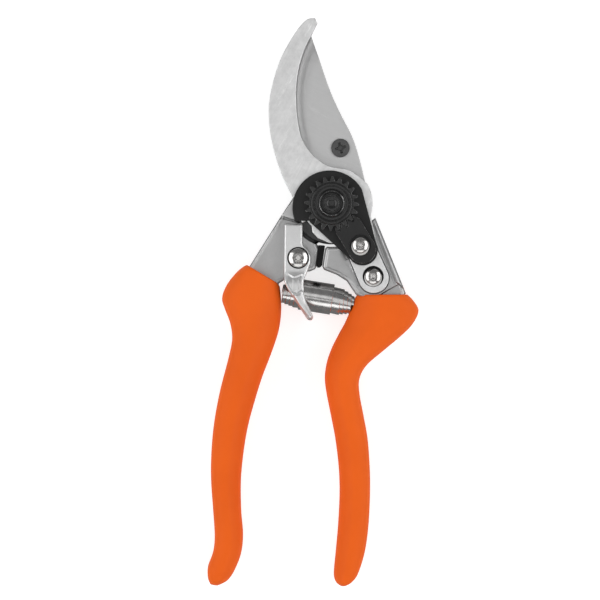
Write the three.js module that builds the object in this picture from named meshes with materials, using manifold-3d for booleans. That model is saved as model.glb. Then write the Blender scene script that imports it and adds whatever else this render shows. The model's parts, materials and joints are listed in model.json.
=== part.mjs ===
// Bypass pruner, closed, lying flat on its back: +Z is the front face, +Y points to the tips of the
// blades and -Y to the ends of the handles. The origin is on the pivot axis, at the flat underside of
// the pivot bolt's head. All sizes are in millimetres.
import * as THREE from "three";
import { mergeVertices } from "three/addons/utils/BufferGeometryUtils.js";
import Module from "manifold-3d";

const wasm = await Module();
wasm.setup();

// ---------------------------------------------------------------- driving dimensions

// Heights of the stack on the pivot bolt: [bottom, top], with a running gap of 0.1 between neighbours.
const BOLT_HEAD_Z = [0, 2.4];
const WASHER_Z = [2.5, 3.2];
const BOSS_Z = [3.3, 9.0];
const BLADE_Z = [9.1, 12.1];
const HOOK_Z = [12.2, 15.7];
const PLATE_Z = [15.8, 17.2];
const SEGMENT_Z = [17.3, 19.6];
const NUT_Z = [17.3, 21.4];
const BOLT_TOP = 21.9;

// Pivot.
const BOLT_R = 4.0;
const BOLT_HEAD_R = 8.5;
const BUSH_R = 5.2;
const RUNNING_GAP = 0.1;
const BOSS_R = 15.1;
const HEAD_R = 15.5;

// Where the fasteners stand.
const BLADE_SCREW_AT = [3.4, 21.2];
const LOCK_SCREW_AT = [10.8, -15.7];
const HOOK_SCREW_AT = [15.7, -27.4];
const LATCH_AT = [-12.6, -20.4];
const SCREW_R = 1.9;
const SCREW_HEAD_R = 3.0;
const LATCH_HEAD_R = 3.7;
const BLADE_HEAD_R = 3.5;
const SCREW_SIDES = 20;
const CLEARANCE = 0.2;
const RECESS_R = 4.0;
const LATCH_RECESS_R = 4.2;
const SEGMENT_RECESS = 1.1;
const HOOK_RECESS = 1.3;
const LATCH_RECESS = 0.6;
const BACK_NUT_R = 3.9;
const BACK_NUT_Z = [3.0, 5.5];
const NUT_POCKET_R = 4.2;
const NUT_POCKET_Z = [0, 5.6];
const LOCK_SCREW_TIP = 6.2;
const BACK_SCREW_TIP = 3.4;

// Small washers under two of the heads. Each has sunk towards -Y by the play of its hole on the shank.
const SMALL_WASHER_R = 3.4;
const SMALL_WASHER_HOLE_R = 2.45;
const SMALL_WASHER_T = 0.4;
const SMALL_WASHER_SAG = 0.5;

// Heights that pass through the whole tool, for holes.
const THROUGH = [-1, 40];

// Castings.
const ARM_Z = [3.3, 12.1];
const STOP_TOP = 14.0;
const RIM_TOP = 15.0;
const TONGUE_Z = [3.4, 13.4];
const POCKET_GAP = 0.35;

// Latch.
const LATCH_Z = [12.3, 15.2];
const LEVER_Z = [15.0, 17.4];

// Grips: half the thickness at the top and at the end of the handle, on a mid-plane at GRIP_MID.
const GRIP_MID = 8.4;
const GRIP_HALF_TOP = 8.4;
const GRIP_HALF_END = 6.9;
const COAT_TOP = 1.4;
const COAT_LOW = 2.9;
const SOCKET_GAP = 0.3;

// Return spring: the ends of its axis in plan, its height, and its radii.
const SPRING_LEFT = [-18.2, -34.67];
const SPRING_RIGHT = [7.0, -38.0];
const SPRING_Z = 8.4;
const SPRING_BODY_R = 5.9;
const SPRING_END_R = 3.4;
const SPRING_WALL = 1.1;
const PEG_R = 1.9;

// ---------------------------------------------------------------- materials

const finish = (color, roughness, metalness) =>
  new THREE.MeshStandardMaterial({ color, roughness, metalness });
const HOOK_STEEL = finish(0xcdcdcd, 0.42, 0.9);
const BLADE_STEEL = finish(0xacacae, 0.32, 1.0);
const CAST_ALLOY = finish(0xa6a6a8, 0.5, 0.9);
const BLACK_OXIDE = finish(0x262626, 0.5, 0.6);
const BRIGHT_STEEL = finish(0xd8d8d8, 0.22, 1.0);
const SPRING_STEEL = finish(0xc8c4be, 0.15, 1.0);
const ORANGE_VINYL = finish(0xec6624, 0.55, 0.0);
const BLACK_RUBBER = finish(0x161616, 0.85, 0.0);

// ---------------------------------------------------------------- outlines

const radians = (degrees) => (degrees * Math.PI) / 180;

function polar(radius, degrees, centre = [0, 0]) {
  return [centre[0] + radius * Math.cos(radians(degrees)), centre[1] + radius * Math.sin(radians(degrees))];
}

function arc(centre, radius, from, to, steps = 10) {
  return Array.from({ length: steps + 1 }, (_, i) => polar(radius, from + ((to - from) * i) / steps, centre));
}

function smooth(points, steps) {
  const curve = new THREE.SplineCurve(points.map(([x, y]) => new THREE.Vector2(x, y)));
  return curve.getPoints(steps).map((p) => [p.x, p.y]);
}

function between(a, b, t) {
  return [a[0] + (b[0] - a[0]) * t, a[1] + (b[1] - a[1]) * t];
}

// ---------------------------------------------------------------- solids

// A closed geometry as a solid that can be joined and cut.
function solid(geometry) {
  const bare = geometry.index ? geometry.clone() : geometry;
  bare.deleteAttribute("normal");
  bare.deleteAttribute("uv");
  const merged = mergeVertices(bare, 1e-4);
  return new wasm.Manifold(
    new wasm.Mesh({
      numProp: 3,
      vertProperties: new Float32Array(merged.attributes.position.array),
      triVerts: new Uint32Array(merged.index.array),
    }),
  );
}

function geometryOf(shape) {
  const mesh = shape.getMesh();
  const geometry = new THREE.BufferGeometry();
  geometry.setAttribute("position", new THREE.BufferAttribute(new Float32Array(mesh.vertProperties), 3));
  geometry.setIndex(new THREE.BufferAttribute(new Uint32Array(mesh.triVerts), 1));
  const faceted = geometry.toNonIndexed();
  faceted.computeVertexNormals();
  return faceted;
}

// A flat outline given thickness between two heights.
function slab(points, [bottom, top]) {
  const shape = new THREE.Shape(points.map(([x, y]) => new THREE.Vector2(x, y)));
  const geometry = new THREE.ExtrudeGeometry(shape, { depth: top - bottom, bevelEnabled: false });
  geometry.translate(0, 0, bottom);
  return solid(geometry);
}

function disc([x, y], radius, [bottom, top], sides = 32) {
  return slab(arc([x, y], radius, 0, 360 - 360 / sides, sides - 1), [bottom, top]);
}

// A turned piece from [radius, height] pairs that start and end on the axis, or close on themselves.
function turned(profile, sides = 28) {
  const geometry = new THREE.LatheGeometry(profile.map(([r, z]) => new THREE.Vector2(r, z)), sides);
  geometry.rotateX(Math.PI / 2);
  return solid(geometry);
}

// A side view in (Y, Z) carried across X.
function sideSlab(points, [left, right]) {
  const shape = new THREE.Shape(points.map(([y, z]) => new THREE.Vector2(y, z)));
  const geometry = new THREE.ExtrudeGeometry(shape, { depth: right - left, bevelEnabled: false });
  geometry.translate(0, 0, left);
  geometry.applyMatrix4(new THREE.Matrix4().set(0, 0, 1, 0, 1, 0, 0, 0, 0, 1, 0, 0, 0, 0, 0, 1));
  return solid(geometry);
}

function screwHole(at, heights = THROUGH) {
  return disc(at, SCREW_R + CLEARANCE, heights, SCREW_SIDES);
}

// ---------------------------------------------------------------- hook (counter-blade)

const HOOK_BACK = [
  [-8.1, 70.0], [-11.9, 66.8], [-15.5, 61.7], [-19.3, 54.5], [-21.8, 46.9], [-23.4, 39.4],
  [-23.7, 33.0], [-22.9, 25.2], [-21.0, 17.5], [-18.4, 10.2], [-14.7, 2.7],
];
const HOOK_MOUTH = [
  [10.8, 10.1], [7.0, 12.6], [3.8, 13.4], [0.3, 13.9], [-2.9, 15.2], [-5.4, 17.0], [-7.8, 19.2],
  [-10.2, 22.6], [-11.9, 26.8], [-13.1, 34.0], [-13.4, 42.0], [-12.5, 50.6], [-10.2, 58.3],
  [-7.6, 63.6], [-5.3, 68.2],
];
const TANG_END = [15.9, -28.0];
const TANG_R = 5.7;
const RELIEF_R = 13.1;
const NOTCH_R = 11.2;

// The heel of the hook. The latch's corner drops into a notch with the blades closed or fully open,
// and the tall land between the two notches stops it from being locked anywhere else.
function hookHeel() {
  return [
    polar(RELIEF_R, 172.5),
    polar(RELIEF_R, 178.5),
    ...arc([0, 0], NOTCH_R, 178.5, 193, 3),
    ...arc([0, 0], RELIEF_R, 196.5, 213.5, 4),
    ...arc([0, 0], NOTCH_R, 213.5, 228, 3),
    polar(12.9, 236),
    polar(13.9, 248),
    polar(14.8, 266),
    polar(15.1, 278),
    polar(15.1, 290),
  ];
}

function tangOutline(spread) {
  return [
    [6.9 - spread, -21.0],
    ...arc(TANG_END, TANG_R + spread, 200, 380, 14),
    [17.6 + spread, -18.2],
  ];
}

function hookBlade() {
  const outline = [
    ...smooth(HOOK_BACK, 34),
    ...hookHeel(),
    ...tangOutline(0),
    ...arc([0, 0], HEAD_R, -17, 28, 8),
    ...smooth(HOOK_MOUTH, 40),
    [-6.2, 70.0],
  ];
  return slab(outline, HOOK_Z)
    .subtract(disc([0, 0], BOLT_R + RUNNING_GAP, THROUGH))
    .subtract(screwHole(LOCK_SCREW_AT))
    .subtract(screwHole(HOOK_SCREW_AT))
    .subtract(disc(HOOK_SCREW_AT, RECESS_R, [HOOK_Z[1] - HOOK_RECESS, THROUGH[1]], 24));
}

// ---------------------------------------------------------------- cutting blade

const SPINE = [
  [-7.6, 63.6], [-4.35, 54.1], [-0.6, 43.15], [3.2, 34.6], [7.4, 26.5], [9.65, 20.4], [11.7, 12.9],
];
const CUTTING_EDGE = [
  [-14.6, 1.4], [-13.6, 6.0], [-14.0, 13.0], [-15.6, 22.0], [-17.2, 31.0], [-17.5, 40.0],
  [-16.2, 48.5], [-13.4, 56.0], [-10.0, 61.6], [-7.9, 63.8],
];
const HEEL_CORNER = [-19.0, -4.4];
const STEP_RIGHT = [-11.6, -6.7];

function bladeOutline() {
  return [...SPINE, ...arc([0, 0], 14.9, 29, -147, 22), STEP_RIGHT, HEEL_CORNER, ...smooth(CUTTING_EDGE, 26)];
}

function cuttingBlade() {
  return slab(bladeOutline(), BLADE_Z)
    .subtract(disc([0, 0], BOLT_R + RUNNING_GAP, THROUGH))
    .subtract(screwHole(BLADE_SCREW_AT));
}

// ---------------------------------------------------------------- grips and the handles inside them

// Each pair is the outer and inner side of a handle, from its top to its end.
const LEFT_RAILS = [
  [[-32.1, -22.9], [-19.7, -30.3]], [[-35.6, -25.8], [-19.3, -33.4]], [[-39.6, -30.7], [-19.0, -38.4]],
  [[-41.4, -35.6], [-19.2, -43.0]], [[-40.3, -39.8], [-20.0, -48.0]], [[-38.2, -45.2], [-21.6, -53.2]],
  [[-37.5, -51.2], [-23.8, -59.2]], [[-38.8, -58.4], [-26.6, -66.0]], [[-42.0, -70.4], [-29.1, -74.4]],
  [[-44.2, -82.0], [-31.7, -84.0]], [[-45.3, -93.0], [-33.5, -94.0]], [[-45.4, -104.0], [-34.4, -104.6]],
  [[-44.6, -116.0], [-34.2, -116.0]], [[-44.0, -125.6], [-33.7, -125.0]], [[-44.7, -131.8], [-34.6, -132.2]],
  [[-46.6, -137.2], [-36.8, -138.6]], [[-46.9, -141.4], [-39.8, -142.2]], [[-46.0, -144.2], [-43.4, -144.5]],
];
const RIGHT_RAILS = [
  [[29.0, -34.2], [9.6, -34.2]], [[32.2, -38.6], [8.2, -38.0]], [[32.4, -41.4], [6.8, -41.4]],
  [[30.0, -45.6], [5.0, -45.2]], [[25.9, -49.6], [2.8, -49.2]], [[18.9, -55.4], [0.2, -54.4]],
  [[12.9, -60.8], [-1.7, -59.8]], [[10.4, -66.0], [-2.4, -65.6]], [[10.4, -71.8], [-1.7, -71.4]],
  [[12.0, -80.0], [0.0, -80.0]], [[13.5, -89.0], [1.6, -89.0]], [[14.4, -100.0], [2.9, -100.0]],
  [[14.5, -110.0], [3.25, -110.0]], [[13.9, -122.0], [2.8, -122.0]], [[12.4, -132.0], [1.9, -132.0]],
  [[9.8, -140.0], [1.0, -140.0]], [[7.5, -143.2], [1.7, -143.2]], [[5.2, -144.7], [3.5, -144.7]],
];
const TONGUE_RINGS = [1, 14];

// One closed skin through rounded-rectangle rings. A ring runs from its outer to its inner side.
function loft(rings, corners = 20, squareness = 2.9) {
  const positions = [];
  const index = [];
  const power = 2 / squareness;
  const bend = (v) => Math.sign(v) * Math.abs(v) ** power;
  for (const { outer, inner, half } of rings) {
    for (let i = 0; i < corners; i++) {
      const turn = (2 * Math.PI * (i + 0.5)) / corners;
      const [x, y] = between(outer, inner, 0.5 - 0.5 * bend(Math.cos(turn)));
      positions.push(x, y, GRIP_MID + half * bend(Math.sin(turn)));
    }
  }
  for (let ring = 0; ring + 1 < rings.length; ring++) {
    for (let i = 0; i < corners; i++) {
      const a = ring * corners + i;
      const b = ring * corners + ((i + 1) % corners);
      index.push(a, b, a + corners, b, b + corners, a + corners);
    }
  }
  for (const ring of [0, rings.length - 1]) {
    const { outer, inner } = rings[ring];
    const middle = positions.length / 3;
    positions.push(...between(outer, inner, 0.5), GRIP_MID);
    for (let i = 0; i < corners; i++) {
      const a = ring * corners + i;
      const b = ring * corners + ((i + 1) % corners);
      index.push(...(ring === 0 ? [middle, b, a] : [middle, a, b]));
    }
  }
  const geometry = new THREE.BufferGeometry();
  geometry.setAttribute("position", new THREE.Float32BufferAttribute(positions, 3));
  geometry.setIndex(index);
  const shape = solid(geometry);
  return shape.volume() > 0 ? shape : solid(flipped(geometry));
}

function flipped(geometry) {
  const index = geometry.index.array;
  for (let i = 0; i < index.length; i += 3) [index[i], index[i + 1]] = [index[i + 1], index[i]];
  return geometry;
}

// The coat is thin where the handle comes out of it and thicker lower down.
function tonguePoints(rails, grow) {
  const [first, last] = TONGUE_RINGS;
  const sides = rails.slice(first, last).map(([outer, inner], i) => {
    const coat = (i < 2 ? COAT_TOP + i * 0.75 : COAT_LOW) - grow;
    const t = coat / Math.hypot(outer[0] - inner[0], outer[1] - inner[1]);
    return [between(outer, inner, t), between(inner, outer, t)];
  });
  return [...sides.map(([outer]) => outer), ...sides.map(([, inner]) => inner).reverse()];
}

// The plan of the handle from the casting's neck to the tongue inside the grip.
function neckPoints(rails, grow) {
  const [[outerTop, innerTop], [outerLow, innerLow]] = [rails[0], rails[TONGUE_RINGS[0] + 1]];
  const inset = (a, b) => between(a, b, (COAT_TOP - grow) / Math.hypot(a[0] - b[0], a[1] - b[1]));
  const rise = grow + 1;
  const up = (p) => [p[0] + (p[0] < -15 ? 0.4 * rise : 0), p[1] + rise];
  return [
    up(inset(outerTop, innerTop)), up(inset(innerTop, outerTop)),
    inset(innerLow, outerLow), inset(outerLow, innerLow),
  ];
}

function tongue(rails, grow) {
  const heights = [TONGUE_Z[0] - grow, TONGUE_Z[1] + grow];
  return slab(tonguePoints(rails, grow), heights).add(slab(neckPoints(rails, grow), heights));
}

// A round bar along the spring's axis between two places, given as fractions of the spring's length.
function alongSpring(radius, from, to, sides = 18) {
  const geometry = new THREE.CylinderGeometry(radius, radius, 1, sides);
  const a = between(SPRING_LEFT, SPRING_RIGHT, from);
  const b = between(SPRING_LEFT, SPRING_RIGHT, to);
  geometry.scale(1, Math.hypot(b[0] - a[0], b[1] - a[1]), 1);
  geometry.rotateZ(Math.atan2(b[1] - a[1], b[0] - a[0]) - Math.PI / 2);
  geometry.translate((a[0] + b[0]) / 2, (a[1] + b[1]) / 2, SPRING_Z);
  return solid(geometry);
}

function grip(rails, seatCut) {
  const rings = rails.map(([outer, inner], i) => {
    const t = i / (rails.length - 1);
    const half = GRIP_HALF_TOP + (GRIP_HALF_END - GRIP_HALF_TOP) * t;
    return { outer, inner, half: i === 0 ? half - 0.9 : i === rails.length - 1 ? half * 0.45 : half };
  });
  rings[rings.length - 2].half *= 0.85;
  return loft(rings).subtract(tongue(rails, SOCKET_GAP)).subtract(seatCut);
}

const leftGrip = () => grip(LEFT_RAILS, alongSpring(4.1, -0.16, 0.3));
const rightGrip = () => grip(RIGHT_RAILS, alongSpring(4.5, 0.75, 1.18));

// ---------------------------------------------------------------- castings

function bladeHandleCore() {
  const boss = disc([0, 0], BOSS_R, BOSS_Z, 48)
    .add(slab([...arc(BLADE_SCREW_AT, 5.6, -5, 185, 12), polar(BOSS_R, 150), polar(BOSS_R, 35)], BOSS_Z))
    .add(slab([[-14.6, 2.5], [-19.4, -4.9], [-12.0, -10.0], [-6.0, -6.0], [-8.0, 2.5]], BOSS_Z));
  const arm = slab(
    [
      [-19.7, -5.3], [-30.9, -23.2], [-19.8, -29.9], [-18.2, -28.9], [-16.0, -27.2], [-12.6, -25.9],
      [-8.1, -25.4], [-6.2, -24.6], [-5.3, -23.1], [-4.9, -20.4], [-4.35, -16.8],
      [-5.1, -15.6], ...arc([0, 0], 16.1, 246, 222, 4), ...arc([0, 0], 15.2, 219, 211, 2),
    ],
    ARM_Z,
  );
  const stop = slab(
    [
      [-8.8, -13.8], [-7.0, -14.8], [-5.1, -15.6], [-4.35, -16.8], [-4.9, -20.4], [-5.3, -23.1],
      [-6.2, -24.6], [-7.6, -25.2], ...arc(LATCH_AT, 5.4, -38, 42, 5),
    ],
    [ARM_Z[1] - 1, STOP_TOP],
  );
  const bladeSeat = slab(
    [...arc([0, 0], 15.2, 40, -145, 20), [-12.2, -7.0], [-19.6, -4.9], [-18, 6]],
    [BOSS_Z[1], THROUGH[1]],
  );
  return boss
    .add(arm)
    .add(tongue(LEFT_RAILS, 0))
    .subtract(bladeSeat)
    .add(stop)
    .add(alongSpring(PEG_R, -0.12, 0.16))
    .subtract(disc([0, 0], BUSH_R + RUNNING_GAP, THROUGH))
    .subtract(screwHole(BLADE_SCREW_AT))
    .subtract(screwHole(LATCH_AT))
    .subtract(disc(LATCH_AT, NUT_POCKET_R, NUT_POCKET_Z, 6));
}

function hookHandleCore() {
  const outline = [
    [-2.3, -16.8], [-3.4, -23.5], [-2.8, -24.8], [2.1, -26.7], [5.9, -29.1], [8.1, -32.4], [9.0, -33.9],
    [28.4, -33.9], [16.5, -5.5], [15.1, -6.3], ...arc([0, 0], 16.2, -24, -96, 9),
  ];
  const pocket = slab(
    [
      ...arc(TANG_END, TANG_R + 1.3, 232, 380, 12), [18.0, -18.0], [14.0, 2.0], [2.0, -12.0],
      ...tangOutline(POCKET_GAP).slice(0, 3),
    ],
    [ARM_Z[1], THROUGH[1]],
  );
  const plateRelief = slab(
    [[-4, -8], [-4, -20], [4.2, -24], [7.6, -21], [18, -12], [16.2, -5], [9, -6]],
    [14.3, THROUGH[1]],
  );
  return slab(outline, [ARM_Z[0], RIM_TOP])
    .add(tongue(RIGHT_RAILS, 0))
    .subtract(pocket)
    .subtract(plateRelief)
    .add(alongSpring(PEG_R, 0.84, 1.12))
    .subtract(screwHole(LOCK_SCREW_AT, [LOCK_SCREW_TIP - CLEARANCE, THROUGH[1]]))
    .subtract(screwHole(HOOK_SCREW_AT))
    .subtract(disc(HOOK_SCREW_AT, NUT_POCKET_R, NUT_POCKET_Z, 6));
}

// ---------------------------------------------------------------- pivot hardware

function pivotBolt() {
  return turned([
    [0, BOLT_HEAD_Z[0]], [BOLT_HEAD_R - 0.6, BOLT_HEAD_Z[0]],
    [BOLT_HEAD_R, 0.6], [BOLT_HEAD_R, BOLT_HEAD_Z[1]],
    [BOLT_R, BOLT_HEAD_Z[1]], [BOLT_R, BOLT_TOP - 0.5], [BOLT_R - 0.5, BOLT_TOP], [0, BOLT_TOP],
  ]);
}

function ring(centre, outer, inner, heights, sides = 32) {
  return disc(centre, outer, heights, sides).subtract(disc(centre, inner, THROUGH, sides));
}

const boltWasher = () => ring([0, 0], 8.0, BOLT_R + CLEARANCE, WASHER_Z);
const pivotBush = () => ring([0, 0], BUSH_R, BOLT_R + RUNNING_GAP, BOSS_Z);

const PLATE_HEAD = [-0.76, -1.5];
const PLATE_END = [11.7, -17.6];

function coverPlate() {
  const outline = [
    ...arc(PLATE_HEAD, 14.0, 29, 198, 22),
    [-14.0, -6.45], [-8.4, -6.45], [-8.1, -7.0], [6.9, -20.9],
    ...arc(PLATE_END, 5.7, 214, 372, 12),
  ];
  return slab(outline, PLATE_Z)
    .subtract(disc([0, 0], BOLT_R + CLEARANCE, THROUGH))
    .subtract(screwHole(LOCK_SCREW_AT));
}

const TEETH = 20;
const TOOTH_TIP_R = 10.2;
const TOOTH_ROOT_R = 8.3;
const TOOTH_GAP = 0.35;
const NUT_TEETH_Z = [NUT_Z[0], 19.4];

// A tooth sits on the line from the pivot to the segment, whose rack fills the gaps beside it.
function toothedRing(tip, root, phase) {
  const points = [];
  const pitch = 360 / TEETH;
  for (let i = 0; i < TEETH; i++) {
    const at = phase + i * pitch;
    points.push(polar(root, at - 0.38 * pitch), polar(tip, at - 0.12 * pitch));
    points.push(polar(tip, at + 0.12 * pitch), polar(root, at + 0.38 * pitch));
  }
  return points;
}

const SEGMENT_DIRECTION = -56;

function toothedNut() {
  return slab(toothedRing(TOOTH_TIP_R, TOOTH_ROOT_R, SEGMENT_DIRECTION), NUT_TEETH_Z)
    .add(disc([0, 0], 7.6, [NUT_TEETH_Z[0], 20.6], 30))
    .add(disc([0, 0], 5.2, [NUT_TEETH_Z[0], NUT_Z[1]], 30))
    .subtract(disc([0, 0], BOLT_R + RUNNING_GAP, THROUGH, 30));
}

const SEGMENT_END = [11.5, -17.4];
const SEGMENT_R = 5.3;

function lockingSegment() {
  const side = polar(SEGMENT_R, SEGMENT_DIRECTION + 90);
  const start = polar(8.5, SEGMENT_DIRECTION);
  const teeth = toothedRing(TOOTH_TIP_R + TOOTH_GAP, TOOTH_ROOT_R + TOOTH_GAP, SEGMENT_DIRECTION);
  const bar = slab(
    [
      [start[0] + side[0], start[1] + side[1]], [start[0] - side[0], start[1] - side[1]],
      ...arc(SEGMENT_END, SEGMENT_R, SEGMENT_DIRECTION - 90, SEGMENT_DIRECTION + 90, 14),
    ],
    SEGMENT_Z,
  );
  return bar
    .subtract(slab(teeth, THROUGH))
    .subtract(screwHole(LOCK_SCREW_AT))
    .subtract(disc(LOCK_SCREW_AT, RECESS_R, [SEGMENT_Z[1] - SEGMENT_RECESS, THROUGH[1]], 24));
}

// ---------------------------------------------------------------- fasteners

// A pan-head screw standing on its seat: shank down to tip, head above.
function screw([x, y], tip, seat, headTop, headR = SCREW_HEAD_R) {
  return turned(
    [
      [0, tip], [SCREW_R - 0.3, tip], [SCREW_R, tip + 0.3], [SCREW_R, seat], [headR, seat],
      [headR, headTop - 0.5], [headR - 0.6, headTop], [0, headTop],
    ],
    20,
  ).translate([x, y, 0]);
}

// The small washer lies on the floor of its recess, and the head of the screw lies on the washer.
const washerSeat = (plateTop, recess) => plateTop - recess + RUNNING_GAP;
const headSeat = (plateTop, recess) => washerSeat(plateTop, recess) + SMALL_WASHER_T + RUNNING_GAP;

const bladeScrew = () =>
  screw(BLADE_SCREW_AT, BOSS_Z[0] + CLEARANCE, BLADE_Z[1] + RUNNING_GAP, BLADE_Z[1] + 1.2, BLADE_HEAD_R);
const lockingScrew = () =>
  screw(LOCK_SCREW_AT, LOCK_SCREW_TIP, headSeat(SEGMENT_Z[1], SEGMENT_RECESS), SEGMENT_Z[1] + 1.9);
const hookScrew = () =>
  screw(HOOK_SCREW_AT, BACK_SCREW_TIP, headSeat(HOOK_Z[1], HOOK_RECESS), HOOK_Z[1] + 1.2);
const latchScrew = () =>
  screw(LATCH_AT, BACK_SCREW_TIP, LATCH_Z[1] - LATCH_RECESS + RUNNING_GAP, LATCH_Z[1] + 1.5, LATCH_HEAD_R);

function smallWasher([x, y], plateTop, recess) {
  const low = washerSeat(plateTop, recess);
  const heights = [low, low + SMALL_WASHER_T];
  return ring([x, y - SMALL_WASHER_SAG], SMALL_WASHER_R, SMALL_WASHER_HOLE_R, heights, 28);
}

const lockingScrewWasher = () => smallWasher(LOCK_SCREW_AT, SEGMENT_Z[1], SEGMENT_RECESS);
const hookScrewWasher = () => smallWasher(HOOK_SCREW_AT, HOOK_Z[1], HOOK_RECESS);

const nut = (at) => disc(at, BACK_NUT_R, BACK_NUT_Z, 6).subtract(screwHole(at));
const hookScrewNut = () => nut(HOOK_SCREW_AT);
const latchScrewNut = () => nut(LATCH_AT);

// ---------------------------------------------------------------- latch, stop and spring

const LATCH_PLAN = [
  [-17.6, -7.5], [-11.0, -7.8], [-11.0, -15.4], [-8.9, -17.4], [-7.8, -19.6], [-8.0, -22.2], [-9.4, -25.4],
  [-10.6, -29.0], [-10.4, -33.3], [-9.3, -36.3], [-6.8, -42.2], [-7.1, -43.9], [-8.5, -44.2], [-10.0, -42.9],
  [-13.6, -37.3], [-17.0, -32.0], [-17.9, -28.8], [-18.0, -25.0],
];

function thumbLatch() {
  const side = sideSlab(
    [
      [-5, LATCH_Z[0]], [-5, LATCH_Z[1]], [-24.5, LATCH_Z[1]], [-29.5, LEVER_Z[1]], [-46, LEVER_Z[1]],
      [-46, LEVER_Z[0]], [-30, LEVER_Z[0]], [-25.5, LATCH_Z[0]],
    ],
    [-30, 0],
  );
  return slab(LATCH_PLAN, [LATCH_Z[0] - 1, LEVER_Z[1] + 1])
    .intersect(side)
    .subtract(screwHole(LATCH_AT))
    .subtract(disc(LATCH_AT, LATCH_RECESS_R, [LATCH_Z[1] - LATCH_RECESS, THROUGH[1]], 24));
}

function stopBumper() {
  return slab([[-4.0, -16.0], [-2.5, -16.6], [-3.7, -23.4], [-5.0, -23.8], [-4.6, -20.4]], [4.5, 13.6]);
}

const SPRING_STEPS = 4;
const SPRING_STEP_LENGTH = 1.6;

// The outline of a strip wound into two cones that share one barrel: each end steps down turn by turn.
function voluteSpring() {
  const length = Math.hypot(SPRING_RIGHT[0] - SPRING_LEFT[0], SPRING_RIGHT[1] - SPRING_LEFT[1]);
  const step = (SPRING_BODY_R - SPRING_END_R) / SPRING_STEPS;
  const outer = [];
  for (let i = 0; i <= SPRING_STEPS; i++) {
    const radius = SPRING_END_R + i * step;
    const end = i === SPRING_STEPS ? length - i * SPRING_STEP_LENGTH : (i + 1) * SPRING_STEP_LENGTH;
    outer.push([radius, i * SPRING_STEP_LENGTH], [radius, end]);
  }
  for (let i = SPRING_STEPS - 1; i >= 0; i--) {
    const radius = SPRING_END_R + i * step;
    outer.push([radius, length - (i + 1) * SPRING_STEP_LENGTH], [radius, length - i * SPRING_STEP_LENGTH]);
  }
  const bore = SPRING_END_R - SPRING_WALL;
  const wide = SPRING_BODY_R - SPRING_WALL;
  const inner = [[bore, length], [bore, length - 2], [wide, length - 8], [wide, 8], [bore, 2], [bore, 0]];
  const profile = [...outer, ...inner, outer[0]];
  const geometry = new THREE.LatheGeometry(profile.map(([r, z]) => new THREE.Vector2(r, z)), 20);
  const rise = SPRING_RIGHT[1] - SPRING_LEFT[1];
  const run = SPRING_RIGHT[0] - SPRING_LEFT[0];
  geometry.rotateZ(Math.atan2(rise, run) - Math.PI / 2);
  geometry.translate(SPRING_LEFT[0], SPRING_LEFT[1], SPRING_Z);
  return solid(geometry);
}

// ---------------------------------------------------------------- assembly

const PIECES = [
  ["hook_blade", hookBlade, HOOK_STEEL],
  ["cutting_blade", cuttingBlade, BLADE_STEEL],
  ["hook_handle_core", hookHandleCore, CAST_ALLOY],
  ["blade_handle_core", bladeHandleCore, CAST_ALLOY],
  ["hook_handle_grip", rightGrip, ORANGE_VINYL],
  ["blade_handle_grip", leftGrip, ORANGE_VINYL],
  ["pivot_bolt", pivotBolt, BLACK_OXIDE],
  ["bolt_washer", boltWasher, BRIGHT_STEEL],
  ["pivot_bush", pivotBush, BRIGHT_STEEL],
  ["cover_plate", coverPlate, BLACK_OXIDE],
  ["toothed_nut", toothedNut, BLACK_OXIDE],
  ["locking_segment", lockingSegment, BLACK_OXIDE],
  ["locking_screw", lockingScrew, BRIGHT_STEEL],
  ["locking_screw_washer", lockingScrewWasher, BRIGHT_STEEL],
  ["hook_screw", hookScrew, BRIGHT_STEEL],
  ["hook_screw_washer", hookScrewWasher, BRIGHT_STEEL],
  ["hook_screw_nut", hookScrewNut, BRIGHT_STEEL],
  ["blade_screw", bladeScrew, BLACK_OXIDE],
  ["thumb_latch", thumbLatch, CAST_ALLOY],
  ["latch_screw", latchScrew, BRIGHT_STEEL],
  ["latch_screw_nut", latchScrewNut, BRIGHT_STEEL],
  ["stop_bumper", stopBumper, BLACK_RUBBER],
  ["volute_spring", voluteSpring, SPRING_STEEL],
];

const pruner = new THREE.Group();
for (const [name, build, material] of PIECES) {
  const mesh = new THREE.Mesh(geometryOf(build()), material);
  mesh.name = name;
  pruner.add(mesh);
}

export default pruner;
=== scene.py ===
"""Looks of a bypass pruner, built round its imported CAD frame.

Outlines are in millimetres in the frame's own axes: +Y to the tips, +Z to the front face. Heights and the
places of the fasteners come from the frame. Each piece is a finer mesh that stands for one CAD node.
"""

import json
import math

import bpy
import numpy as np
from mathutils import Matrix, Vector
from mathutils.geometry import delaunay_2d_cdt


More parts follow.
